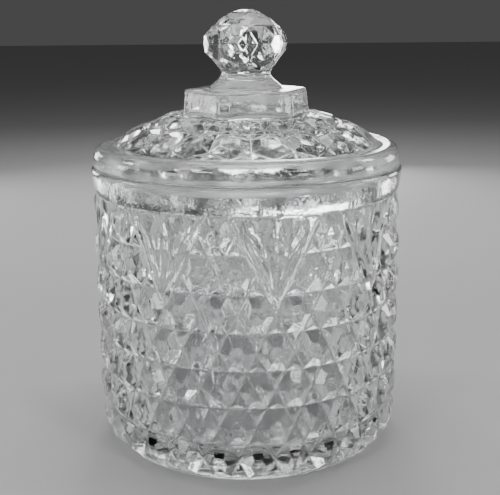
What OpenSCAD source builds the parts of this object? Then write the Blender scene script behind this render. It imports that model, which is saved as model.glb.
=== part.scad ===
// Covered powder jar in clear pressed glass.
// The jar's wall is a three-way grid of straight grooves. Each hexagon of the grid is a flat-topped
// button, each triangle is a small pyramid, and fans of flutes break the top rows below a plain rim.
// The loose lid has a domed band of the same buttons, a six-sided collar and a faceted knob.
// The origin is at the middle of the foot, +Z is up, and angles run from the front, -Y, towards +X.

/* [Jar] */
// Radius over the flat tops of the buttons
jar_radius = 44.9; // [42:0.1:48]
// Number of flute fans around the jar, one for every three buttons
fans = 9; // [8:1:10]
// Rows of buttons between the foot and the rim band
rows = 7; // [4:1:9]
// Height of the plain band below the rim
band_height = 7.3; // [6:0.1:12]
// Height of a row of buttons
row_height = 10.4; // [9.5:0.1:11]
// Height of the plain edge below the first row
foot_height = 1.6; // [1.5:0.1:3]
// How far the first row is drawn in at the foot
foot_draw = 2.1; // [1:0.1:3]
// Depth of the grooves below the button tops
relief = 1.8; // [1:0.1:2.2]
// Glass between the grooves and the cavity
wall = 3.4; // [2.5:0.1:5]
// Thickness of the floor
floor_thickness = 6; // [5:0.1:9]
// Turn of the pattern, so that a fan stands a little right of the front
jar_turn = 9.8; // [0:0.1:40]

/* [Lid] */
// Gap between the locating ring and the mouth of the jar, all round
ring_gap = 0.7; // [0.4:0.1:1.5]
// Depth of the locating ring below the rim
ring_depth = 3.2; // [2:0.1:5]
// Height of the flange from the rim to the foot of the dome
flange_height = 5.9; // [5:0.1:8]
// Rise of the grooves from the dome's foot to the collar
dome_rise = 7.6; // [6:0.1:10]
// Height of the buttons above the dome's grooves
dome_relief = 1.3; // [0.6:0.1:1.5]
// Turn of the dome's buttons
dome_turn = 2.2; // [0:0.1:15]

/* [Knob] */
// Radius of the six-sided collar over its corners, at its foot
collar_radius = 18.6; // [16:0.1:19]
// Height of the collar above the dome
collar_height = 7; // [4:0.1:9]
// Turn of the collar, to the middle of one of its flat sides
collar_turn = 10; // [0:1:60]
// Radius of the knob over the flats of its six buttons
knob_radius = 11.7; // [10.5:0.1:12.5]
// Height of the knob above the collar
knob_height = 22.6; // [20:0.1:26]
// Turn of the knob, to the middle of one of its buttons
knob_turn = -11; // [-30:1:30]

/* [Hidden] */
$fn = 96;

// Jar grid: columns of cells and angle of half a cell
columns = 3 * fans;
half_cell = 180 / columns;
band_z = foot_height + rows * row_height;
jar_height = band_z + band_height;
groove_radius = jar_radius - relief;
pyramid_radius = jar_radius - relief / 2;
band_foot_radius = groove_radius + 0.6;
rim_radius = jar_radius + 0.2;
lip_height = 1.2;
lip_radius = rim_radius - 0.3;
button_top = 0.41;

// Fan: half-row levels from its point to the band, and the level where the inner flutes start
fan_levels = 5;
flutes_start = 1.5;
flute_radius = jar_radius - 0.3;
flute_end = 0.25;
fan_points = 35;

// Cavity and underside
mouth_radius = groove_radius - wall;
cavity_corner = 5;
foot_radius = groove_radius - foot_draw - 1.3;
foot_edge = 1;
dish_radius = foot_radius - 6;
dish_depth = 1;

// Lid: radii of the flange, the dome's three rings and the hollow below
flange_radius = jar_radius - 0.6;
dome_radius = jar_radius - 6.5;
dome_mid_radius = 0.715 * dome_radius;
dome_top_radius = 0.505 * dome_radius;
dome_z = jar_height + flange_height;
dome_bend = 0.42;
ring_radius = mouth_radius - ring_gap;
ring_width = 3.4;
hollow_radius = ring_radius - ring_width;
hollow_depth = 11.2;
dome_columns = 20;
dome_top = 0.48;
dome_pyramid = 0.45;

// Collar and knob levels above the lid
collar_taper = 0.8;
collar_z = dome_z + dome_rise;
collar_top_z = collar_z + collar_height;
knob_top_z = collar_top_z + knob_height;
knob_low_z = collar_top_z + 8.3;
knob_high_z = knob_top_z - 4.7;
knob_low_radius = knob_radius - 2.5;
knob_high_radius = knob_radius - 2.2;
knob_mid_radius = knob_radius - 0.9;
knob_cap_radius = knob_radius - 3.5;
knob_top = 0.5;
knob_pyramid = 0.7;
neck_radius = 6.8;
flare_radius = 10.2;
flare_height = 4.2;

// ---- Points and cells ----

function around(r, angle, z) = [r * sin(angle), -r * cos(angle), z];
function sum(v, i = 0) = i == len(v) - 1 ? v[i] : v[i] + sum(v, i + 1);
function mean(points) = sum(points) / len(points);
function unit(v) = v / norm(v);
function outward(p, g) =
    unit(sum([for (i = [0 : len(p) - 1]) cross(p[i] - g, p[(i + 1) % len(p)] - g)]));

// Ring of points of a flat top: the cell drawn in by a scale and lifted along its own normal
function lifted(p, rise, scale) =
    let (g = mean(p), n = outward(p, g))
    [for (q = p) let (d = q - g) g + rise * n + scale * (d - (d * n) * n)];

// Triangles of a cell's sloping sides, from its corners to the ring of points that starts at first
function sides(cell, first) =
    let (n = len(cell))
    [for (i = [0 : n - 1]) let (j = (i + 1) % n)
        each [[cell[i], cell[j], first + j], [cell[i], first + j, first + i]]];
function flat(n, first) = [for (i = [1 : n - 2]) [first, first + i, first + i + 1]];
function peak(cell, top) =
    [for (i = [0 : len(cell) - 1]) [cell[i], cell[(i + 1) % len(cell)], top]];

// Band of triangles between two rings of n points, lower ring first, seen from outside
function band(n, low, high) =
    [for (i = [0 : n - 1]) let (j = (i + 1) % n)
        each [[low + i, low + j, high + j], [low + i, high + j, high + i]]];
function top_cap(n, ring, middle) = [for (i = [0 : n - 1]) [ring + i, ring + (i + 1) % n, middle]];
function bottom_cap(n, ring, middle) = [for (i = [0 : n - 1]) [ring + (i + 1) % n, ring + i, middle]];

// Solid with a skin of flat-topped buttons, of six corners each, and of small pyramids.
// buttons and pyramids hold [corner numbers, rise], and plain holds the other triangles.
module studded(points, buttons, pyramids, plain, top_scale) {
    first_top = len(points);
    first_peak = first_top + 6 * len(buttons);
    tops = [for (b = buttons) each lifted([for (i = b[0]) points[i]], b[1], top_scale)];
    peaks = [for (p = pyramids) lifted([for (i = p[0]) points[i]], p[1], 0)[0]];
    faces = concat(
        plain,
        [for (i = [0 : len(buttons) - 1])
            each concat(sides(buttons[i][0], first_top + 6 * i), flat(6, first_top + 6 * i))],
        [for (i = [0 : len(pyramids) - 1]) each peak(pyramids[i][0], first_peak + i)]
    );
    polyhedron(concat(points, tops, peaks), [for (f = faces) [f[2], f[1], f[0]]]);
}

// ---- Jar skin ----

// Corners on the lines between rows, then the corners where two buttons of a row touch.
// The first row curves in towards the foot.
function row_start(row) = (rows - row) % 2;
function line_index(line, u) = line * 2 * columns + (u + 2 * columns) % (2 * columns);
touch_first = (rows + 1) * 2 * columns;
function touch_index(row, u) =
    touch_first + row * columns + ((u - 1 - row_start(row) + 2 * columns) % (2 * columns)) / 2;
function drawn(z) = foot_draw * pow(max(0, 1 - (z - foot_height) / row_height), 1.5);
function line_z(line) = foot_height + line * row_height;
function line_radius(line) = line == rows ? band_foot_radius : groove_radius - drawn(line_z(line));
function touch_z(row) = foot_height + (row + 0.5) * row_height;
fan_first = touch_first + rows * columns;

// Distance of a column from the nearest fan, in half cells, and the cells that the fans cut away
function from_fan(u) = min((u + 2 * columns) % 6, 6 - (u + 2 * columns) % 6);
function depth_of(row) = rows - 1 - row;
function in_fan(row, u) = depth_of(row) < 2 && from_fan(u) < 2 - depth_of(row);
function above_in_fan(row, u) = depth_of(row) < 3 && from_fan(u) < 3 - depth_of(row);

button_cells = [
    for (row = [0 : rows - 1], k = [0 : columns - 1]) let (u = 2 * k + row_start(row))
    if (!in_fan(row, u)) [
        touch_index(row, u + 1), line_index(row + 1, u), line_index(row + 1, u - 1),
        touch_index(row, u - 1), line_index(row, u - 1), line_index(row, u)
    ]];
hanging_cells = [
    for (row = [0 : rows - 1], k = [0 : columns - 1]) let (u = 2 * k + 1 + row_start(row))
    if (!above_in_fan(row, u))
        [touch_index(row, u), line_index(row + 1, u), line_index(row + 1, u - 1)]];
standing_cells = [
    for (row = [0 : rows - 1], k = [0 : columns - 1]) let (u = 2 * k + 1 + row_start(row))
    if (!in_fan(row, u))
        [touch_index(row, u), line_index(row, u - 1), line_index(row, u)]];

// Fan: at each level, 6 grooves and 5 crests between them, in half cells from the fan's axis.
// The outer grooves follow the grid, and the inner ones spread from one point on the axis.
function spread(level) = max(0, (level - flutes_start) / (fan_levels - flutes_start));
function groove_u(level, i) =
    i == 0 ? -level / 2 : i == 5 ? level / 2 : (i - 2.5) * spread(level);
function fan_u(level, p) =
    p % 2 == 0 ? groove_u(level, p / 2)
    : (groove_u(level, (p - 1) / 2) + groove_u(level, (p + 1) / 2)) / 2;
function fan_z(level) = band_z - (fan_levels - level) * row_height / 2;
function fan_point(fan, level, p, r, drop = 0) =
    around(r, jar_turn + (6 * fan + fan_u(level, p)) * half_cell, fan_z(level) - drop);
function flute_crest(p, level) = p % 2 == 1 ? flute_radius : groove_radius;

jar_fan_points = [for (fan = [0 : fans - 1]) each concat(
    [fan_point(fan, 1, 1, pyramid_radius), around(groove_radius, jar_turn + 6 * fan * half_cell, fan_z(1)),
        fan_point(fan, 1, 9, pyramid_radius)],
    [for (level = [2 : 4], p = [1 : 9]) fan_point(fan, level, p, flute_crest(p, level))],
    [for (p = [1 : 2 : 9]) fan_point(fan, 5, p, flute_radius, flute_end * row_height / 2)]
)];
// Number of the point p of a fan at a level: the edges are corners of the grid
function fan_index(fan, level, p) =
    let (own = fan_first + fan * fan_points, axis = 6 * fan, top = rows - 1)
    level == 0 ? touch_index(top - 2, axis)
    : level == 5 ? (p % 2 == 0 ? line_index(rows, axis - 3 + p / 2) : own + 30 + (p - 1) / 2)
    : p == 0 ? (level % 2 == 1 ? line_index(rows - 2 + (level - 1) / 2, axis - (level + 1) / 2)
        : touch_index(top - 2 + level / 2, axis - level / 2))
    : p == 10 ? (level % 2 == 1 ? line_index(rows - 2 + (level - 1) / 2, axis + (level - 1) / 2)
        : touch_index(top - 2 + level / 2, axis + level / 2))
    : level == 1 ? own + (p == 1 ? 0 : p == 9 ? 2 : 1)
    : own + 3 + (level - 2) * 9 + p - 1;
function whole(f) = f[0] != f[1] && f[1] != f[2] && f[2] != f[0];
fan_faces = [
    for (fan = [0 : fans - 1], level = [0 : fan_levels - 1], p = [0 : 9])
    let (a = fan_index(fan, level, p), b = fan_index(fan, level, p + 1),
        c = fan_index(fan, level + 1, p + 1), d = fan_index(fan, level + 1, p))
    for (f = p % 2 == 0 ? [[a, b, c], [a, c, d]] : [[a, b, d], [b, c, d]]) if (whole(f)) f];
fan_ends = [
    for (fan = [0 : fans - 1], p = [1 : 2 : 9])
        [fan_index(fan, 5, p), fan_index(fan, 5, p + 1), fan_index(fan, 5, p - 1)]];

jar_points = concat(
    [for (line = [0 : rows], k = [0 : 2 * columns - 1])
        around(line_radius(line), jar_turn + (k + 0.5) * half_cell, line_z(line))],
    [for (row = [0 : rows - 1], k = [0 : columns - 1])
        around(groove_radius - drawn(touch_z(row)), jar_turn + (2 * k + 1 + row_start(row)) * half_cell,
            touch_z(row))],
    jar_fan_points,
    [for (k = [0 : 2 * columns - 1])
        around(foot_radius + 0.8, jar_turn + (k + 0.5) * half_cell, foot_edge)],
    [for (k = [0 : 2 * columns - 1])
        around(rim_radius, jar_turn + (k + 0.5) * half_cell, jar_height - lip_height)],
    [[0, 0, foot_edge], [0, 0, jar_height - lip_height]]
);
low_ring = fan_first + fans * fan_points;
high_ring = low_ring + 2 * columns;
jar_plain = concat(
    fan_faces, fan_ends,
    band(2 * columns, low_ring, 0),
    band(2 * columns, rows * 2 * columns, high_ring),
    bottom_cap(2 * columns, low_ring, high_ring + 2 * columns),
    top_cap(2 * columns, high_ring, high_ring + 2 * columns + 1)
);
// Rise that brings the middle of a cell to radius r, drawn in like the cell itself
function rise_to(cell, r) =
    let (g = mean([for (i = cell) jar_points[i]])) r - drawn(g[2]) - norm([g[0], g[1]]);

module jar_skin() {
    studded(
        jar_points,
        [for (c = button_cells) [c, rise_to(c, jar_radius)]],
        [for (c = concat(hanging_cells, standing_cells)) [c, rise_to(c, pyramid_radius)]],
        jar_plain, button_top
    );
}

// ---- Jar ----

// Ring with a fire-polished edge that closes the wall at the rim
module lip() {
    rotate_extrude() {
        translate([mouth_radius - 1, jar_height - 2 * lip_height])
            square([lip_radius - lip_height - mouth_radius + 1, 2 * lip_height]);
        translate([mouth_radius - 1, jar_height - 2 * lip_height])
            square([lip_radius - mouth_radius + 1, lip_height]);
        translate([lip_radius - lip_height, jar_height - lip_height]) circle(lip_height);
    }
}

module foot() {
    rotate_extrude() {
        square([foot_radius - foot_edge, 2 * foot_edge]);
        translate([0, foot_edge]) square([foot_radius, foot_edge]);
        translate([foot_radius - foot_edge, foot_edge]) circle(foot_edge);
    }
}

module cavity() {
    rotate_extrude() {
        translate([0, floor_thickness]) square([mouth_radius - cavity_corner, jar_height]);
        translate([0, floor_thickness + cavity_corner]) square([mouth_radius, jar_height]);
        translate([mouth_radius - cavity_corner, floor_thickness + cavity_corner]) circle(cavity_corner);
    }
}

module jar() {
    color([0.86, 0.89, 0.9])
    difference() {
        union() {
            jar_skin();
            lip();
            foot();
        }
        cavity();
        translate([0, 0, -1]) cylinder(r = dish_radius, h = 1 + dish_depth);
    }
}

// ---- Lid ----

// Height of the dome's grooves at radius r: steeper at the foot, flatter towards the collar
function dome_height(r) =
    let (x = (dome_radius - r) / (dome_radius - dome_top_radius))
    dome_z + dome_rise * (x * (1 + dome_bend) - x * x * dome_bend);
function part_way(a, b, share) = a + (b - a) * share;
dome_side_radii = [
    dome_radius, part_way(dome_radius, dome_mid_radius, 1 / 4), part_way(dome_radius, dome_mid_radius, 3 / 4),
    dome_mid_radius, dome_top_radius];
dome_middle_radii = [
    dome_radius, dome_mid_radius, part_way(dome_mid_radius, dome_top_radius, 1 / 4),
    part_way(dome_mid_radius, dome_top_radius, 3 / 4), dome_top_radius];
dome_wall_z = jar_height + flange_height / 2;
column_angle = 360 / dome_columns;

// Five corners up the left side of each column and five up its middle. The buttons of the first row
// stand in the middle of the columns, and those of the second row on their sides.
function side_index(k, i) = (k % dome_columns) * 5 + i;
function middle_index(k, i) = (dome_columns + k % dome_columns) * 5 + i;
dome_foot_ring = dome_columns * 10;
dome_base_ring = dome_foot_ring + 2 * dome_columns;
dome_top_ring = dome_base_ring + 2 * dome_columns;
dome_cells = [
    for (k = [0 : dome_columns - 1]) let (last = k + dome_columns - 1) each [
        [middle_index(k, 0), side_index(k + 1, 1), side_index(k + 1, 2),
            middle_index(k, 1), side_index(k, 2), side_index(k, 1)],
        [side_index(k, 3), middle_index(k, 2), middle_index(k, 3),
            side_index(k, 4), middle_index(last, 3), middle_index(last, 2)]
    ]];
dome_corners = [
    for (k = [0 : dome_columns - 1]) let (last = k + dome_columns - 1) each [
        [side_index(k + 1, 0), side_index(k + 1, 1), middle_index(k, 0)],
        [side_index(k, 0), middle_index(k, 0), side_index(k, 1)],
        [side_index(k + 1, 2), side_index(k + 1, 3), middle_index(k, 1)],
        [side_index(k, 2), middle_index(k, 1), side_index(k, 3)],
        [middle_index(k, 1), middle_index(k, 2), side_index(k, 3)],
        [middle_index(last, 1), side_index(k, 3), middle_index(last, 2)],
        [middle_index(k, 3), middle_index(k, 4), side_index(k, 4)],
        [middle_index(last, 3), side_index(k, 4), middle_index(last, 4)]
    ]];
function edge_index(k, i) = k % 2 == 0 ? side_index(k / 2, i) : middle_index((k - 1) / 2, i);
dome_points = concat(
    [for (k = [0 : dome_columns - 1], r = dome_side_radii)
        around(r, dome_turn + k * column_angle, dome_height(r))],
    [for (k = [0 : dome_columns - 1], r = dome_middle_radii)
        around(r, dome_turn + (k + 0.5) * column_angle, dome_height(r))],
    [for (k = [0 : 2 * dome_columns - 1])
        around(dome_radius, dome_turn + k * column_angle / 2, dome_wall_z)],
    [[0, 0, dome_wall_z], [0, 0, dome_height(dome_top_radius)]]
);
dome_plain = concat(
    [for (k = [0 : 2 * dome_columns - 1])
        let (j = (k + 1) % (2 * dome_columns), low = dome_foot_ring)
        each [[low + k, low + j, edge_index(j, 0)], [low + k, edge_index(j, 0), edge_index(k, 0)]]],
    [for (k = [0 : 2 * dome_columns - 1])
        [edge_index(k, 4), edge_index((k + 1) % (2 * dome_columns), 4), dome_base_ring + 1]],
    bottom_cap(2 * dome_columns, dome_foot_ring, dome_base_ring)
);

module dome() {
    studded(
        dome_points,
        [for (c = dome_cells) [c, dome_relief]],
        [for (c = dome_corners) [c, dome_pyramid]],
        dome_plain, dome_top
    );
}

// Flange that rests on the rim, with a rounded edge and a shallow gutter round the dome
module flange() {
    edge = flange_height / 2;
    rotate_extrude() {
        translate([0, jar_height]) square([flange_radius - edge, flange_height - 0.4]);
        translate([0, jar_height]) square([flange_radius - 0.6, edge]);
        translate([flange_radius - edge, jar_height + edge]) circle(edge);
        translate([0, jar_height - ring_depth]) square([ring_radius, ring_depth + edge]);
    }
}

// Shallow bowl below the dome, open at the bottom
module hollow() {
    bowl = (hollow_radius * hollow_radius + hollow_depth * hollow_depth) / (2 * hollow_depth);
    low = jar_height - ring_depth;
    intersection() {
        translate([0, 0, low + hollow_depth - bowl]) sphere(bowl);
        translate([0, 0, low - 1]) cylinder(r = hollow_radius, h = hollow_depth + 2);
    }
    translate([0, 0, low - 1]) cylinder(r = hollow_radius, h = 1 + ring_depth / 2);
}

module collar() {
    rotate(collar_turn)
        translate([0, 0, collar_z - 2])
        cylinder(r1 = collar_radius, r2 = collar_radius - collar_taper, h = collar_height + 2, $fn = 6);
}

module neck() {
    rotate_extrude() difference() {
        translate([0, collar_top_z - 1]) square([flare_radius, knob_low_z - collar_top_z]);
        translate([neck_radius + flare_height, collar_top_z + flare_height + 0.6]) circle(flare_height);
        translate([neck_radius, collar_top_z + flare_height + 0.6]) square([flare_radius, knob_height]);
    }
}

// Ball with a belt of six buttons, a stepped cap of flat facets and a tapered underside
knob_points = concat(
    [for (k = [0 : 11]) around(knob_low_radius, knob_turn + (k + 0.5) * 30, knob_low_z)],
    [for (k = [0 : 11]) around(knob_high_radius, knob_turn + (k + 0.5) * 30, knob_high_z)],
    [for (k = [0 : 5]) around(knob_mid_radius, knob_turn + (2 * k + 1) * 30, (knob_low_z + knob_high_z) / 2)],
    [for (k = [0 : 11]) around(neck_radius + 0.6, knob_turn + (k + 0.5) * 30, knob_low_z - 2.8)],
    [for (k = [0 : 11]) around(knob_cap_radius, knob_turn + (k + 0.5) * 30, knob_high_z + 0.3)],
    [for (k = [0 : 11]) around(knob_cap_radius * 0.7, knob_turn + (k + 0.5) * 30, knob_top_z - 1.7)],
    [for (k = [0 : 11]) around(knob_cap_radius * 0.3, knob_turn + (k + 0.5) * 30, knob_top_z)],
    [[0, 0, knob_low_z - 2.8], [0, 0, knob_top_z]]
);
knob_cells = [for (k = [0 : 5]) [
    24 + k, 12 + 2 * k, 12 + (2 * k + 11) % 12, 24 + (k + 5) % 6, (2 * k + 11) % 12, 2 * k]];
knob_corners = [for (k = [0 : 5]) each [
    [24 + k, 12 + (2 * k + 1) % 12, 12 + 2 * k], [24 + k, 2 * k, (2 * k + 1) % 12]]];
knob_plain = concat(
    band(12, 30, 0), band(12, 12, 42), band(12, 42, 54), band(12, 54, 66),
    bottom_cap(12, 30, 78), top_cap(12, 66, 79)
);
module knob() {
    reach = norm([for (i = [0, 1]) mean([for (c = knob_cells[0]) knob_points[c]])[i]]);
    studded(
        knob_points,
        [for (c = knob_cells) [c, knob_radius - reach]],
        [for (c = knob_corners) [c, knob_pyramid]],
        knob_plain, knob_top
    );
}

module lid() {
    color([0.86, 0.89, 0.9])
    difference() {
        union() {
            flange();
            dome();
            collar();
            neck();
            knob();
        }
        hollow();
    }
}

jar();
lid();
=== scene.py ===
"""Pressed-glass powder jar: two solid glass pieces, the jar and its loose lid, built as closed meshes
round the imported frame. Shapes are worked out in millimetres and written in metres. Angles run from the
front, -Y, towards +X, in degrees."""

import math

import bmesh
import bpy
import numpy as np
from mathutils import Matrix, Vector, noise


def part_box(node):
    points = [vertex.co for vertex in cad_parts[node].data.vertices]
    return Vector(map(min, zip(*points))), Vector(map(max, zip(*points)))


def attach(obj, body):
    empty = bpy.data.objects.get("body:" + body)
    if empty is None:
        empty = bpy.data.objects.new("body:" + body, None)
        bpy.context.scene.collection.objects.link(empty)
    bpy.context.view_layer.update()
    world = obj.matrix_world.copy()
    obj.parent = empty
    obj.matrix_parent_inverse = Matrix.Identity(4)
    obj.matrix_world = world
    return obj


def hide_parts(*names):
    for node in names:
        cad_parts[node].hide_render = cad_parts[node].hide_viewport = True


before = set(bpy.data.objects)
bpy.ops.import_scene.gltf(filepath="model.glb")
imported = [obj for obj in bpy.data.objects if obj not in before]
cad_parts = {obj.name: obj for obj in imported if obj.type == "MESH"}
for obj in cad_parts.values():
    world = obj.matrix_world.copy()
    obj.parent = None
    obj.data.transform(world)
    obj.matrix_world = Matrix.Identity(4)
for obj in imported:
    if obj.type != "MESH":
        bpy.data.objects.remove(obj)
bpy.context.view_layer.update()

MM = 0.001
jar_low, jar_high = (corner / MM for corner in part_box("jar"))
lid_low, lid_high = (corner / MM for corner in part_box("lid"))

# ---- Driving sizes of the design, in millimetres ----

JAR_RADIUS = 44.88
FANS = 9
ROWS = 7
COLUMNS = 3 * FANS
HALF_CELL = 180 / COLUMNS
ROW_HEIGHT = 10.4
FOOT_HEIGHT = 1.6
FOOT_DRAW = 2.1
BAND_Z = FOOT_HEIGHT + ROWS * ROW_HEIGHT
RELIEF = 1.9
GROOVE_RADIUS = JAR_RADIUS - RELIEF
PYRAMID_RADIUS = JAR_RADIUS - 0.9
BAND_FOOT_RADIUS = JAR_RADIUS - 1.2
BAND_TOP_RADIUS = JAR_RADIUS + 0.05
BUTTON_TOP = 0.42
BUTTON_DIMPLE = 0.1
JAR_TURN = 9.8
RIM_Z = jar_high.z - 0.05
MOUTH_RADIUS = 39.7
FLOOR_Z = 6.0
CAVITY_CORNER = 5.0
DISH_RADIUS = 33.7
DISH_DEPTH = 1.0

FAN_LEVELS = 5
FAN_RADIUS = JAR_RADIUS - 0.5
FAN_BORDER = 0.26  # widths across a fan are in half cells, and heights along it in levels of half a row
LEAF_FOOT = 1.2
LEAF_TIP = 4.95
LEAF_WIDTH = 0.53
LEAF_DEPTH = 1.5
LEAVES_APART = 1.6
SIDE_LEAF = 1.1  # width of a side leaf against the middle one

FLANGE_RADIUS = lid_high.x - 0.02
LID_UNDER_Z = jar_high.z + 0.05
DOME_RADIUS = 37.8
DOME_Z = jar_high.z + 5.9
DOME_RISE = 7.6
DOME_BEND = 0.42
DOME_RELIEF = 1.25
DOME_PYRAMID = 0.45
DOME_TOP = 0.5
DOME_COLUMNS = 20
DOME_TURN = 2.2
DOME_MID_RADIUS = 0.715 * DOME_RADIUS
DOME_TOP_RADIUS = 0.505 * DOME_RADIUS
LOCATING_RADIUS = 39.0
LOCATING_WIDTH = 3.4
HOLLOW_DEPTH = 11.2

COLLAR_RADIUS = 19.1
COLLAR_BEVEL = 1.0
COLLAR_TURN = 10
COLLAR_TOP_Z = DOME_Z + DOME_RISE + 7.5
KNOB_TOP_Z = lid_high.z
KNOB_RADIUS = 11.7
KNOB_TURN = -11
KNOB_LOW_Z = COLLAR_TOP_Z + 7.8
KNOB_HIGH_Z = KNOB_TOP_Z - 4.7
KNOB_LOW_RADIUS = KNOB_RADIUS - 2.5
KNOB_HIGH_RADIUS = KNOB_RADIUS - 2.2
KNOB_MID_RADIUS = KNOB_RADIUS - 0.9
KNOB_TOP = 0.5
KNOB_PYRAMID = 0.7
CROWN_RADIUS = 8.9

CAMERA_DISTANCE = 266
CAMERA_SIDE = 0.8
CAMERA_HEIGHT = 122.8
CAMERA_DOWN = 14.2
CAMERA_ROLL = -0.5
CAMERA_LENS = 65.9
SENSOR_WIDTH = 36

# ---- Light and stage, in metres; brightness is that of a soft box's face ----

AIM_HEIGHT = 0.06
TOP_BOX_PLACE = (0, 0.05, 0.6)
TOP_BOX_SIZE = (0.3, 0.3)
TOP_BRIGHTNESS = 5
LOW_BOXES = 8
LOW_START = 37.5
LOW_DISTANCE = 0.5
LOW_HEIGHT = 0.12
LOW_BOX_SIZE = (0.09, 0.14)
LOW_BRIGHTNESS = 9
HIGH_BOXES = 5
HIGH_START = 40
HIGH_DISTANCE = 0.55
HIGH_HEIGHT = 0.42
HIGH_BOX_SIZE = (0.1, 0.1)
HIGH_BRIGHTNESS = 20
WORLD_BRIGHTNESS = 0.07
FLOOR_WIDTH = 8
FLOOR_GREY = 0.48
FLOOR_ROUGHNESS = 0.75

# ---- Cuts of the mesh, and how worn and uneven the glass is ----

STEPS = (0, 0.045, 0.12, 0.5, 0.88, 0.955, 1)  # cuts along an edge of the pattern, close at its rounded ends
CUTS = len(STEPS) - 1
JAR_AROUND = 2 * COLUMNS * CUTS  # points in a full ring of the jar
LID_AROUND = 2 * DOME_COLUMNS * CUTS  # of the lid
KNOB_AROUND = 12 * CUTS  # and of the knob
WOBBLE_SCALE = 0.22
WOBBLE = 0.08  # most that a surface stands off its true place, in millimetres
BASE_WOBBLE = 0.4
WORN_ROUGHNESS = 0.4
GLASS_IOR = 1.52
TINT_SCALE = 60  # scales of the noise in the glass, per metre
HAZE_SCALE = 240
PIT_SCALE = 900
PIT_STRENGTH = 0.28
PIT_DEPTH = 0.0002  # in metres
SOFTENING = 2  # passes that round the pressed edges


# ---- Mesh building ----

def around(r, angle, z):
    a = math.radians(angle)
    return np.array([r * math.sin(a), -r * math.cos(a), z])


class Skin:
    """Faces of one closed glass piece, gathered as patches of points and merged at the end."""

    def __init__(self):
        self.points = []
        self.faces = []

    def grid(self, rows):
        """Faces between rows of equally many points."""
        start = len(self.points)
        width = len(rows[0])
        for row in rows:
            self.points.extend(row)
        for i in range(len(rows) - 1):
            for j in range(width - 1):
                a = start + i * width + j
                self.faces.append((a, a + 1, a + width + 1, a + width))

    def triangle(self, a, b, c):
        n = CUTS
        start = len(self.points)
        for i in range(n + 1):
            for j in range(n + 1 - i):
                weights = STEPS[n - i - j], STEPS[j], STEPS[i]
                self.points.append((a * weights[0] + b * weights[1] + c * weights[2]) / sum(weights))

        def at(i, j):
            return start + i * (n + 1) - i * (i - 1) // 2 + j

        for i in range(n):
            for j in range(n - i):
                self.faces.append((at(i, j), at(i, j + 1), at(i + 1, j)))
                if j < n - i - 1:
                    self.faces.append((at(i, j + 1), at(i + 1, j + 1), at(i + 1, j)))

    def quad(self, a, b, c, d):
        self.grid([[(a + (b - a) * s) * (1 - t) + (d + (c - d) * s) * t for s in STEPS] for t in STEPS])

    def rings(self, rings):
        """Bands between closed rings of equally many points."""
        self.grid([list(ring) + [ring[0]] for ring in rings])

    def halve(self, wide, narrow):
        """Band from a ring to one of half as many points: three faces for each pair of edges."""
        start = len(self.points)
        self.points.extend(list(wide) + list(narrow))
        n, m = len(wide), len(narrow)
        for k in range(m):
            a, b, c = start + 2 * k, start + 2 * k + 1, start + (2 * k + 2) % n
            p, q = start + n + k, start + n + (k + 1) % m
            self.faces.extend([(a, b, p), (b, q, p), (b, c, q)])

    def stitch(self, wide, narrow):
        """Band between two rings of any numbers of points that start side by side."""
        start = len(self.points)
        self.points.extend(list(wide) + list(narrow))
        n, m = len(wide), len(narrow)
        i = j = 0
        while i < n or j < m:
            a, p = start + i % n, start + n + j % m
            if (i + 1) * m <= (j + 1) * n:
                i += 1
                self.faces.append((a, start + i % n, p))
            else:
                j += 1
                self.faces.append((a, start + n + j % m, p))

    def cap(self, ring, middle):
        start = len(self.points)
        self.points.extend(list(ring) + [middle])
        for k in range(len(ring)):
            self.faces.append((start + k, start + (k + 1) % len(ring), start + len(ring)))

    def close(self, profile, count, turn):
        """Closes a turned surface at its axis, halving an even number of points as the rings get smaller."""
        last = circle(*profile[0], count, turn)
        for r, z in profile[1:]:
            if count > 15 and count % 2 == 0:
                count //= 2
                ring = circle(r, z, count, turn)
                self.halve(last, ring)
            else:
                ring = circle(r, z, count, turn)
                self.rings([last, ring])
            last = ring
        self.cap(last, np.array([0.0, 0.0, profile[-1][1]]))


def circle(r, z, count, turn):
    return [around(r, turn + k * 360 / count, z) for k in range(count)]


def turned(profile, count, turn):
    """Rings of count points for a profile of (radius, height)."""
    return [circle(r, z, count, turn) for r, z in profile]


def chords(corners):
    """Ring through the corners, with each side cut as the pattern's edges are."""
    return [a + (b - a) * s for a, b in zip(corners, corners[1:] + corners[:1]) for s in STEPS[:-1]]


def arc(cx, cz, rx, rz, start, end, steps):
    """Points of an elliptical arc; 0 degrees points outwards and 90 upwards."""
    angles = [math.radians(start + (end - start) * k / steps) for k in range(steps + 1)]
    return [(cx + rx * math.cos(a), cz + rz * math.sin(a)) for a in angles]


def outward(corners, middle):
    total = sum(np.cross(p - middle, q - middle) for p, q in zip(corners, corners[1:] + corners[:1]))
    return total / np.linalg.norm(total)


def button(skin, corners, rise, top, dimple):
    """Flat-topped stud on a cell, with its top slightly hollowed like a lens."""
    middle = sum(corners) / len(corners)
    n = outward(corners, middle)
    centre = middle + rise * n
    tops = [centre + top * ((p - middle) - ((p - middle) @ n) * n) for p in corners]
    reach = min(np.linalg.norm(p + q - 2 * centre) for p, q in zip(tops, tops[1:] + tops[:1])) / 2
    for i in range(len(corners)):
        skin.quad(corners[i], corners[i - 1], tops[i - 1], tops[i])
    start = len(skin.points)
    for i in range(len(corners)):
        skin.triangle(tops[i], tops[i - 1], centre)
    for i in range(start, len(skin.points)):
        out = np.linalg.norm(skin.points[i] - centre) / reach
        skin.points[i] = skin.points[i] - n * (dimple * max(0.0, 1 - out * out))


def pyramid(skin, corners, rise):
    middle = sum(corners) / len(corners)
    peak = middle + rise * outward(corners, middle)
    for i in range(len(corners)):
        skin.triangle(corners[i], corners[(i + 1) % len(corners)], peak)


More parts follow.
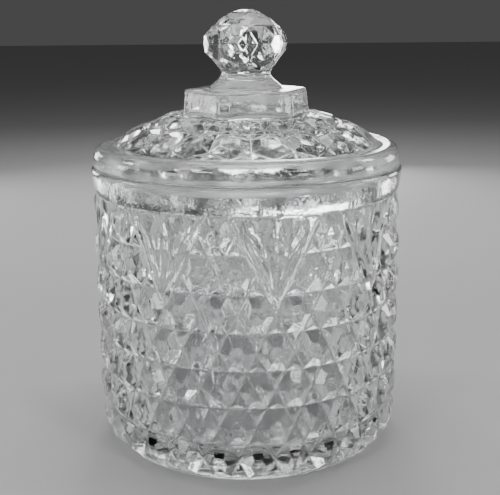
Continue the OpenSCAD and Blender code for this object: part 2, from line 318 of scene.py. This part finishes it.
def finished(skin, name, is_free, wobble):
    """Merges the patches, softens the pressed edges as fire-polishing does where is_free says so, and
    adds the faint unevenness of pressed glass."""
    bm = bmesh.new()
    verts = [bm.verts.new(p) for p in skin.points]
    for face in skin.faces:
        bm.faces.new([verts[i] for i in face])
    bmesh.ops.remove_doubles(bm, verts=bm.verts, dist=0.004)
    bm.verts.index_update()
    place = np.array([v.co for v in bm.verts])
    edges = np.array([[e.verts[0].index, e.verts[1].index] for e in bm.edges])
    free = np.array([is_free(math.hypot(p[0], p[1]), p[2]) for p in place])
    links = np.zeros(len(place))
    np.add.at(links, edges[:, 0], 1)
    np.add.at(links, edges[:, 1], 1)
    for _ in range(SOFTENING):
        total = np.zeros_like(place)
        np.add.at(total, edges[:, 0], place[edges[:, 1]])
        np.add.at(total, edges[:, 1], place[edges[:, 0]])
        place[free] += 0.5 * (total[free] / links[free, None] - place[free])
    for vert, p in zip(bm.verts, place):
        vert.co = p
    bmesh.ops.recalc_face_normals(bm, faces=bm.faces)
    bm.normal_update()
    shifts = [
        v.normal * (wobble(math.hypot(v.co.x, v.co.y), v.co.z) * noise.noise(v.co * WOBBLE_SCALE))
        for v in bm.verts]
    for vert, shift in zip(bm.verts, shifts):
        vert.co = (vert.co + shift) * MM
    mesh = bpy.data.meshes.new(name)
    bm.to_mesh(mesh)
    bm.free()
    mesh.shade_smooth()
    obj = bpy.data.objects.new(name, mesh)
    bpy.context.scene.collection.objects.link(obj)
    return obj


# ---- Jar ----

def row_start(row):
    return (ROWS - row) % 2


def drawn(z):
    """How far the first row curves in towards the foot at a height."""
    return FOOT_DRAW * max(0.0, 1 - (z - FOOT_HEIGHT) / ROW_HEIGHT) ** 1.5


def line_point(line, u):
    """Corner on the line between two rows, u half cells round from the fan's axis."""
    z = FOOT_HEIGHT + line * ROW_HEIGHT
    r = BAND_FOOT_RADIUS if line == ROWS else GROOVE_RADIUS - drawn(z)
    return around(r, JAR_TURN + (u + 0.5) * HALF_CELL, z)


def touch_point(row, u):
    """Corner where two buttons of a row touch."""
    z = FOOT_HEIGHT + (row + 0.5) * ROW_HEIGHT
    return around(GROOVE_RADIUS - drawn(z), JAR_TURN + u * HALF_CELL, z)


def grid_line(line):
    return chords([line_point(line, k) for k in range(2 * COLUMNS)])


def rise_to(corners, radius):
    middle = sum(corners) / len(corners)
    return radius - drawn(middle[2]) - math.hypot(middle[0], middle[1])


def from_fan(u):
    return min(u % 6, 6 - u % 6)


def wall_cells(skin):
    for row in range(ROWS):
        depth = ROWS - 1 - row
        for k in range(COLUMNS):
            u = 2 * k + row_start(row)
            if not from_fan(u) < 2 - depth:
                corners = [
                    touch_point(row, u + 1), line_point(row + 1, u), line_point(row + 1, u - 1),
                    touch_point(row, u - 1), line_point(row, u - 1), line_point(row, u),
                ]
                button(skin, corners, rise_to(corners, JAR_RADIUS), BUTTON_TOP, BUTTON_DIMPLE)
            u += 1
            if not from_fan(u) < 3 - depth:
                corners = [touch_point(row, u), line_point(row + 1, u), line_point(row + 1, u - 1)]
                pyramid(skin, corners, rise_to(corners, PYRAMID_RADIUS))
            if not from_fan(u) < 2 - depth:
                corners = [touch_point(row, u), line_point(row, u - 1), line_point(row, u)]
                pyramid(skin, corners, rise_to(corners, PYRAMID_RADIUS))


def fan_edge(axis, level, side):
    """Grid corner on the edge of a fan at a whole level."""
    if level == 0:
        return touch_point(ROWS - 3, axis)
    if level % 2 == 0:
        return touch_point(ROWS - 3 + level // 2, axis + side * level // 2)
    return line_point(ROWS - 2 + (level - 1) // 2, axis - 0.5 + side * level / 2)


def fan_level(step):
    """Levels are cut at the same places as the edges of the cells beside the fan."""
    return step // CUTS + STEPS[step % CUTS]


def leaf_width(level):
    """Half the width of the middle leaf, which swells slowly and ends in a round tip."""
    x = min(1.0, max(0.0, (level - LEAF_FOOT) / (LEAF_TIP - LEAF_FOOT)))
    return LEAF_WIDTH * math.sin(math.pi * x ** 1.4)


def leaf_axis(level):
    """Distance of the side leaves' creases from the fan's axis."""
    x = min(1.0, max(0.0, (level - 1) / (LEAF_TIP - 1.25)))
    return LEAVES_APART * (1 - (1 - x) ** 1.25)


def fan_radius(edge_radius, u, level):
    """A fan stands up from its sloping border, and three leaves are cut into it with a crease along each."""
    border = min(1.0, (level / 2 - u) / FAN_BORDER)
    into_band = max(0.0, level - FAN_LEVELS + 1)
    surface = FAN_RADIUS + (BAND_FOOT_RADIUS - FAN_RADIUS) * into_band ** 2
    width = leaf_width(level)
    cut = 0.0
    if width > 0.01:
        off = min(u / width, abs(u - leaf_axis(level)) / (SIDE_LEAF * width))
        cut = LEAF_DEPTH * width / LEAF_WIDTH * max(0.0, 1 - off)
    return edge_radius + (surface - cut - edge_radius) * border


def fan_columns(level):
    """Places of the points across half a fan: close to its creases and borders, evenly spread near the
    point of the fan, and on the pattern's own cuts at the band."""
    half = level / 2
    inner = max(0.0, half - FAN_BORDER)
    width, axis = leaf_width(level), leaf_axis(level)
    gap = width, axis - SIDE_LEAF * width
    if gap[0] > gap[1]:
        gap = (gap[0] + gap[1]) / 2, (gap[0] + gap[1]) / 2
    marks = [0.0]
    for mark in (*gap, axis, axis + SIDE_LEAF * width, inner):
        marks.append(min(inner, max(marks[-1], mark)))
    marks.append(half)
    sharp = [0.0]
    for a, b, count in zip(marks, marks[1:], (3, 1, 4, 3, 1, 3)):
        sharp.extend(a + (b - a) * (k + 1) / count for k in range(count))
    even = [half * k / 15 for k in range(16)]
    cuts = [(i + s - 0.5) * level / FAN_LEVELS for i in range(3) for s in STEPS[:-1]][3:] + [half]
    near_point = min(1.0, max(0.0, 1.8 - level))
    near_band = min(1.0, max(0.0, (level - 4.3) / 0.6))
    return [
        a * (1 - near_point - near_band) + b * near_point + c * near_band
        for a, b, c in zip(sharp, even, cuts)]


def fan_row(axis, step):
    level = fan_level(step)
    low = min(step // CUTS, FAN_LEVELS - 1)
    part = level - low
    left, right = (
        fan_edge(axis, low, side) * (1 - part) + fan_edge(axis, low + 1, side) * part for side in (-1, 1)
    )
    half = fan_columns(level)[:-1]
    edge_radius = math.hypot(left[0], left[1])
    return [left] + [
        around(fan_radius(edge_radius, abs(u), level), JAR_TURN + (axis + u) * HALF_CELL, left[2])
        for u in [-u for u in half[:0:-1]] + half
    ] + [right]


def fan(skin, axis):
    band_foot = chords([line_point(ROWS, axis - 3 + i) for i in range(6)])[:-CUTS]
    rows = [fan_row(axis, step) for step in range(FAN_LEVELS * CUTS)]
    skin.grid(rows + [band_foot + [line_point(ROWS, axis + 2)]])


def jar_skin():
    skin = Skin()
    wall_cells(skin)
    for k in range(FANS):
        fan(skin, 6 * k)
    turn = JAR_TURN + HALF_CELL / 2

    # Plain band, rounded rim, cavity wall and floor
    band = [
        (44.35, BAND_Z + 1.2), (44.6, BAND_Z + 3.0), (44.85, BAND_Z + 4.6), (BAND_TOP_RADIUS, BAND_Z + 5.5)]
    lip = arc(BAND_TOP_RADIUS - 1.3, RIM_Z - 1.3, 1.3, 1.3, 0, 90, 6)
    inner_lip = arc(MOUTH_RADIUS + 1.0, RIM_Z - 1.0, 1.0, 1.0, 90, 180, 5)
    wall = [(MOUTH_RADIUS, RIM_Z - 2 - k * 6.5) for k in range(11)]
    corner = MOUTH_RADIUS - CAVITY_CORNER
    bend = arc(corner, FLOOR_Z + CAVITY_CORNER, CAVITY_CORNER, CAVITY_CORNER, 0, -90, 7)
    profile = band + lip + [(42.2, RIM_Z)] + inner_lip + wall + bend
    skin.rings([grid_line(ROWS)] + turned(profile, JAR_AROUND, turn))
    skin.close([(r, FLOOR_Z) for r in (corner, 33.3, *range(31, 0, -2))], JAR_AROUND, turn)

    # Plain edge below the buttons, foot ring and shallow dish
    foot = (
        [(40.7, 1.1), (40.3, 0.6), (39.7, 0.2), (38.9, 0.0), (36.5, 0.0)]
        + arc(DISH_RADIUS + 0.8, 0.8, 0.8, 0.8, -90, -160, 3)
        + [(DISH_RADIUS - 0.4, DISH_DEPTH)]
    )
    skin.rings([grid_line(0)] + turned(foot, JAR_AROUND, turn))
    skin.close([(r, DISH_DEPTH) for r in (foot[-1][0], 32, *range(30, 0, -2))], JAR_AROUND, turn)
    return skin


def jar_free(r, z):
    return r > MOUTH_RADIUS + 1.0 and FOOT_HEIGHT - 0.1 < z < BAND_Z + 0.1


def jar_wobble(r, z):
    """The cavity's floor and the dish below it are the most uneven, and the foot ring stands flat."""
    return BASE_WOBBLE if r < DISH_RADIUS and z < FLOOR_Z + 0.5 else WOBBLE * min(1.0, z)


# ---- Lid ----

def dome_height(r):
    x = (DOME_RADIUS - r) / (DOME_RADIUS - DOME_TOP_RADIUS)
    return DOME_Z + DOME_RISE * (x * (1 + DOME_BEND) - x * x * DOME_BEND)


def dome_point(column, r):
    return around(r, DOME_TURN + column * 360 / DOME_COLUMNS, dome_height(r))


def dome_cells(skin):
    """Two rows of buttons, the second half a column round from the first, between dividing lines, with
    small pyramids in the corners."""
    rows = ((DOME_RADIUS, DOME_MID_RADIUS, 0.5), (DOME_MID_RADIUS, DOME_TOP_RADIUS, 1.0))
    for outer, inner, middle in rows:
        low, high = outer + (inner - outer) / 4, outer + (inner - outer) * 3 / 4
        for k in range(DOME_COLUMNS):
            m = k + middle
            foot, tip = dome_point(m, outer), dome_point(m, inner)
            button(skin, [
                foot, dome_point(m + 0.5, low), dome_point(m + 0.5, high),
                tip, dome_point(m - 0.5, high), dome_point(m - 0.5, low),
            ], DOME_RELIEF, DOME_TOP, BUTTON_DIMPLE)
            for corners in (
                [dome_point(m + 0.5, outer), dome_point(m + 0.5, low), foot],
                [dome_point(m - 0.5, outer), foot, dome_point(m - 0.5, low)],
                [dome_point(m + 0.5, high), dome_point(m + 0.5, inner), tip],
                [dome_point(m - 0.5, high), tip, dome_point(m - 0.5, inner)],
            ):
                pyramid(skin, corners, DOME_PYRAMID)


def dome_ring(r):
    return chords([dome_point(k / 2, r) for k in range(2 * DOME_COLUMNS)])


def collar_ring(corner_radius, z):
    """Six-sided ring with flattened corners and the same points round it as the dome."""
    flat_radius = corner_radius * math.cos(math.radians(30))
    ring = []
    for k in range(LID_AROUND):
        angle = DOME_TURN + k * 360 / LID_AROUND
        from_flat = math.radians((angle - COLLAR_TURN + 30) % 60 - 30)
        from_corner = math.radians((angle - COLLAR_TURN) % 60 - 30)
        r = min(flat_radius / math.cos(from_flat), (corner_radius - COLLAR_BEVEL) / math.cos(from_corner))
        ring.append(around(r, angle, z))
    return ring


def knob_corner(k, r, z):
    return around(r, KNOB_TURN + (k + 0.5) * 30, z)


def knob_ring(r, z):
    return chords([knob_corner(k, r, z) for k in range(12)])


def knob_belt(skin):
    """Six big buttons round the knob, with small pyramids between them."""
    mid_z = (KNOB_LOW_Z + KNOB_HIGH_Z) / 2
    for k in range(0, 12, 2):
        right = knob_corner(k + 0.5, KNOB_MID_RADIUS, mid_z)
        left = knob_corner(k - 1.5, KNOB_MID_RADIUS, mid_z)
        high = [knob_corner(k + i, KNOB_HIGH_RADIUS, KNOB_HIGH_Z) for i in (-1, 0, 1)]
        low = [knob_corner(k + i, KNOB_LOW_RADIUS, KNOB_LOW_Z) for i in (-1, 0, 1)]
        cell = [right, high[1], high[0], left, low[0], low[1]]
        button(skin, cell, rise_to(cell, KNOB_RADIUS), KNOB_TOP, BUTTON_DIMPLE)
        pyramid(skin, [right, high[2], high[1]], KNOB_PYRAMID)
        pyramid(skin, [right, low[1], low[2]], KNOB_PYRAMID)


def knob_crown(skin):
    """Flat facets over the belt, on a ball: two rings of 12 corners, two of 6, and a low point."""
    wide = [knob_corner(k, CROWN_RADIUS, KNOB_HIGH_Z + 0.25) for k in range(12)]
    mid = [knob_corner(k + 0.5, 7.1, KNOB_TOP_Z - 2.55) for k in range(12)]
    narrow = [knob_corner(2 * k, 4.3, KNOB_TOP_Z - 0.85) for k in range(6)]
    table = [knob_corner(2 * k + 1, 1.9, KNOB_TOP_Z - 0.2) for k in range(6)]
    middle = np.array([0.0, 0.0, KNOB_TOP_Z - 0.03])
    skin.rings([knob_ring(KNOB_HIGH_RADIUS, KNOB_HIGH_Z), chords(wide)])
    for k in range(12):
        skin.triangle(wide[k], wide[(k + 1) % 12], mid[k])
        skin.triangle(wide[(k + 1) % 12], mid[(k + 1) % 12], mid[k])
    for k in range(6):
        a, b, c = mid[2 * k - 1], mid[2 * k], mid[2 * k + 1]
        p, q = narrow[k], narrow[(k + 1) % 6]
        skin.triangle(a, b, p)
        skin.triangle(b, c, q)
        skin.triangle(b, q, p)
        skin.triangle(p, q, table[k])
        skin.triangle(q, table[(k + 1) % 6], table[k])
        skin.triangle(table[k], table[(k + 1) % 6], middle)


def lid_skin():
    skin = Skin()
    dome_cells(skin)
    knob_belt(skin)
    knob_crown(skin)

    # Gutter round the dome, rounded flange, underside and locating ring
    gutter = [(DOME_RADIUS + 0.6, DOME_Z - 0.45), (39.6, DOME_Z - 0.65), (40.7, DOME_Z - 0.4)]
    edge_z = LID_UNDER_Z + 2.4
    edge = arc(FLANGE_RADIUS - 2.9, edge_z, 2.9, DOME_Z - 0.2 - edge_z, 80, 0, 9)
    under = arc(FLANGE_RADIUS - 0.7, LID_UNDER_Z + 0.7, 0.7, 0.7, 0, -90, 4)
    low_z = lid_low.z + 0.02
    ring_inside = LOCATING_RADIUS - LOCATING_WIDTH
    locating = (
        [(41.5, LID_UNDER_Z), (LOCATING_RADIUS + 0.5, LID_UNDER_Z), (LOCATING_RADIUS, LID_UNDER_Z - 0.5)]
        + arc(LOCATING_RADIUS - 1.0, low_z + 0.9, 1.0, 0.9, 0, -90, 4)
        + arc(ring_inside + 1.0, low_z + 0.9, 1.0, 0.9, -90, -180, 4)
    )
    skin.rings([dome_ring(DOME_RADIUS)] + turned(gutter + edge + under + locating, LID_AROUND, DOME_TURN))

    # Hollow under the dome
    bowl = (ring_inside ** 2 + HOLLOW_DEPTH ** 2) / (2 * HOLLOW_DEPTH)

    def bowl_z(r):
        return lid_low.z + HOLLOW_DEPTH - bowl + math.sqrt(bowl * bowl - r * r)

    step = [(ring_inside, low_z + 0.9), (ring_inside - 0.1, low_z + 1.6), (ring_inside - 0.6, low_z + 2.2)]
    slope = [(r, bowl_z(r) + 0.8) for r in (33.6, 31.5, 29, 26.5, 24, 21, 18)]
    skin.rings(turned(step + slope, LID_AROUND, DOME_TURN))
    skin.close([(r, bowl_z(r) + 0.8) for r in (18, 13, 9, 6, 3.5, 1.5)], LID_AROUND, DOME_TURN)

    # Six-sided collar from the dome's inner ring up to its flat top
    collar_z = DOME_Z + DOME_RISE
    sides = [
        collar_ring(COLLAR_RADIUS + extra, z) for extra, z in (
            (0.2, collar_z + 0.1), (0.0, collar_z + 0.6), (-0.15, collar_z + 2.2),
            (-0.45, COLLAR_TOP_Z - 2.2), (-0.6, COLLAR_TOP_Z - 0.7), (-0.75, COLLAR_TOP_Z - 0.25),
            (-1.2, COLLAR_TOP_Z), (-2.2, COLLAR_TOP_Z), (-4.0, COLLAR_TOP_Z))]
    skin.rings([dome_ring(DOME_TOP_RADIUS)] + sides)

    # Flared foot and neck of the knob, whose points line up with its corners
    turn = KNOB_TURN + 15
    ahead = round((turn - DOME_TURN) / (360 / LID_AROUND))
    half = circle(12.2, COLLAR_TOP_Z, 2 * KNOB_AROUND, turn)
    foot = circle(10.9, COLLAR_TOP_Z, KNOB_AROUND, turn)
    skin.stitch(sides[-1][ahead:] + sides[-1][:ahead], half)
    skin.halve(half, foot)
    flare = [
        (10.5, 0.15), (10.3, 0.6), (9.9, 1.1), (9.2, 1.65), (8.3, 2.3), (7.6, 2.95), (7.1, 3.7), (6.9, 4.4),
        (7.0, 5.1)]
    neck = turned([(r, COLLAR_TOP_Z + z) for r, z in flare], KNOB_AROUND, turn)
    facets = ((7.6, KNOB_LOW_Z - 2.1), (8.5, KNOB_LOW_Z - 0.9), (KNOB_LOW_RADIUS, KNOB_LOW_Z))
    skin.rings([foot] + neck + [knob_ring(r, z) for r, z in facets])
    return skin


def lid_free(r, z):
    return r < DOME_RADIUS + 0.1 and z > dome_height(max(r, DOME_TOP_RADIUS)) - 0.1


def lid_wobble(r, z):
    return WOBBLE


# ---- Materials ----

def pressed_glass(name, seed, worn):
    """Clear colourless glass, fire-polished, with a faintly pitted skin and a little old haze. It is
    ground by wear where lid, jar and table touch: worn holds heights where the wear starts and is full."""
    mat = bpy.data.materials.new(name)
    mat.use_nodes = True
    nt = mat.node_tree
    shader = nt.nodes["Principled BSDF"]
    shader.inputs["Transmission Weight"].default_value = 1.0
    shader.inputs["IOR"].default_value = GLASS_IOR
    place = nt.nodes.new("ShaderNodeTexCoord")

    def noise_at(scale, detail, shift):
        shifted = nt.nodes.new("ShaderNodeMapping")
        shifted.inputs["Location"].default_value = (seed + shift, shift, -shift)
        nt.links.new(place.outputs["Object"], shifted.inputs["Vector"])
        tex = nt.nodes.new("ShaderNodeTexNoise")
        tex.inputs["Scale"].default_value = scale
        tex.inputs["Detail"].default_value = detail
        nt.links.new(shifted.outputs["Vector"], tex.inputs["Vector"])
        return tex.outputs["Fac"]

    def ramp(source, stops):
        node = nt.nodes.new("ShaderNodeValToRGB")
        node.color_ramp.elements[0].position, node.color_ramp.elements[0].color = stops[0]
        node.color_ramp.elements[1].position, node.color_ramp.elements[1].color = stops[1]
        nt.links.new(source, node.inputs["Fac"])
        return node.outputs["Color"]

    tints = (0.35, (0.93, 0.95, 0.955, 1)), (0.65, (0.985, 0.99, 0.99, 1))
    tint = ramp(noise_at(TINT_SCALE, 3, 0.0), tints)
    nt.links.new(tint, shader.inputs["Base Color"])
    hazes = (0.4, (0.0, 0.0, 0.0, 1)), (0.8, (0.04, 0.04, 0.04, 1))
    haze = ramp(noise_at(HAZE_SCALE, 4, 0.3), hazes)
    height = nt.nodes.new("ShaderNodeSeparateXYZ")
    nt.links.new(place.outputs["Object"], height.inputs["Vector"])
    for start, full in worn:
        wear = nt.nodes.new("ShaderNodeMapRange")
        wear.inputs["From Min"].default_value = start * MM
        wear.inputs["From Max"].default_value = full * MM
        wear.inputs["To Max"].default_value = WORN_ROUGHNESS
        nt.links.new(height.outputs["Z"], wear.inputs["Value"])
        rougher = nt.nodes.new("ShaderNodeMath")
        rougher.operation = "MAXIMUM"
        nt.links.new(haze, rougher.inputs[0])
        nt.links.new(wear.outputs["Result"], rougher.inputs[1])
        haze = rougher.outputs["Value"]
    nt.links.new(haze, shader.inputs["Roughness"])
    pits = nt.nodes.new("ShaderNodeBump")
    pits.inputs["Strength"].default_value = PIT_STRENGTH
    pits.inputs["Distance"].default_value = PIT_DEPTH
    nt.links.new(noise_at(PIT_SCALE, 3, 0.7), pits.inputs["Height"])
    nt.links.new(pits.outputs["Normal"], shader.inputs["Normal"])
    return mat


def floor_paper():
    mat = bpy.data.materials.new("floor_paper")
    mat.use_nodes = True
    shader = mat.node_tree.nodes["Principled BSDF"]
    shader.inputs["Base Color"].default_value = (FLOOR_GREY, FLOOR_GREY, FLOOR_GREY, 1)
    shader.inputs["Roughness"].default_value = FLOOR_ROUGHNESS
    return mat


# ---- Scene ----

def add_floor():
    bpy.ops.mesh.primitive_plane_add(size=FLOOR_WIDTH, location=(0, 0, -0.0002))
    floor = bpy.context.object
    floor.name = "floor"
    floor.data.materials.append(floor_paper())


def add_soft_box(name, place, size, brightness):
    """Rectangular light aimed at the jar, given by the brightness of its face."""
    data = bpy.data.lights.new(name, "AREA")
    data.shape = "RECTANGLE"
    data.size, data.size_y = size
    data.energy = brightness * size[0] * size[1] * math.pi
    lamp = bpy.data.objects.new(name, data)
    lamp.location = place
    lamp.rotation_euler = (Vector((0, 0, AIM_HEIGHT)) - Vector(place)).to_track_quat("-Z", "Y").to_euler()
    bpy.context.scene.collection.objects.link(lamp)


def add_soft_box_ring(name, count, start, radius, height, size, brightness):
    """Soft boxes evenly round the jar, from an angle measured like those of the pattern."""
    for k in range(count):
        place = around(radius, start + k * 360 / count, height)
        add_soft_box(f"{name}_{k}", tuple(place), size, brightness)


def add_camera():
    data = bpy.data.cameras.new("camera")
    data.sensor_width = SENSOR_WIDTH
    data.lens = CAMERA_LENS
    data.clip_start = 0.01
    camera = bpy.data.objects.new("camera", data)
    camera.location = (CAMERA_SIDE * MM, -CAMERA_DISTANCE * MM, CAMERA_HEIGHT * MM)
    camera.rotation_mode = "XYZ"
    look = Vector((0, math.cos(math.radians(CAMERA_DOWN)), -math.sin(math.radians(CAMERA_DOWN))))
    camera.rotation_euler = look.to_track_quat("-Z", "Y").to_euler()
    camera.rotation_euler.rotate_axis("Z", math.radians(CAMERA_ROLL))
    bpy.context.scene.collection.objects.link(camera)
    bpy.context.scene.camera = camera


def add_world():
    world = bpy.data.worlds.new("studio")
    world.use_nodes = True
    world.node_tree.nodes["Background"].inputs["Color"].default_value = (1, 1, 1, 1)
    world.node_tree.nodes["Background"].inputs["Strength"].default_value = WORLD_BRIGHTNESS
    bpy.context.scene.world = world


add_camera()
add_world()
add_floor()
add_soft_box("top", TOP_BOX_PLACE, TOP_BOX_SIZE, TOP_BRIGHTNESS)
add_soft_box_ring("low", LOW_BOXES, LOW_START, LOW_DISTANCE, LOW_HEIGHT, LOW_BOX_SIZE, LOW_BRIGHTNESS)
add_soft_box_ring("high", HIGH_BOXES, HIGH_START, HIGH_DISTANCE, HIGH_HEIGHT, HIGH_BOX_SIZE, HIGH_BRIGHTNESS)

jar = finished(jar_skin(), "pressed_jar", jar_free, jar_wobble)
lid = finished(lid_skin(), "pressed_lid", lid_free, lid_wobble)
jar_worn = (0.4, 0.1), (RIM_Z - 0.3, RIM_Z - 0.1)
lid_worn = ((LID_UNDER_Z + 0.3, LID_UNDER_Z + 0.1),)
for piece, node, slot, seed, worn in (
    (jar, "jar", "jar_glass", 0.0, jar_worn), (lid, "lid", "lid_glass", 5.0, lid_worn),
):
    piece.data.materials.append(pressed_glass(slot, seed, worn))
    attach(piece, node)
    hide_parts(node)
